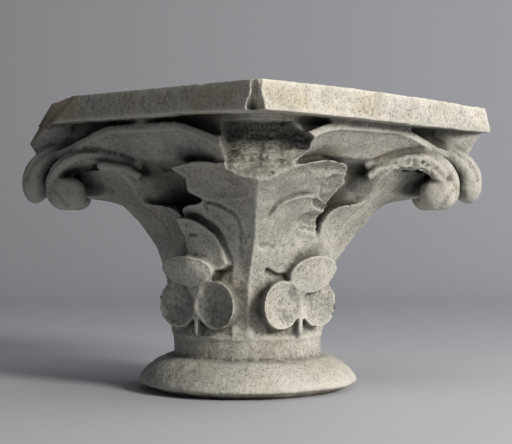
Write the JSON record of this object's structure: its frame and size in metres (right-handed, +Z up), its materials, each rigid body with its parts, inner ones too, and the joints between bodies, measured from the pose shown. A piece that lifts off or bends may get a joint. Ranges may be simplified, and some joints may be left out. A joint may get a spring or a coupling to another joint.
{
  "type": "engaged capital",
  "caption": "Carved limestone capital with a square abacus set cornerwise, curled leaf crockets, trefoils and a ring foot, cut flat at the back where it joins a wall.",
  "frame": {"origin": "centre of the round bed under the foot ring, on the shaft's axis", "axes": "+Z up along the shaft's axis, +Y back into the wall, +X to the right of someone facing the wall; the lost front crocket's corner points along -Y"},
  "size_m": [0.5162, 0.3249, 0.313],
  "materials": {
    "limestone": "weathered matt"
  },
  "bodies": {
    "root": {"capital": "limestone"}
  },
  "joints": []
}
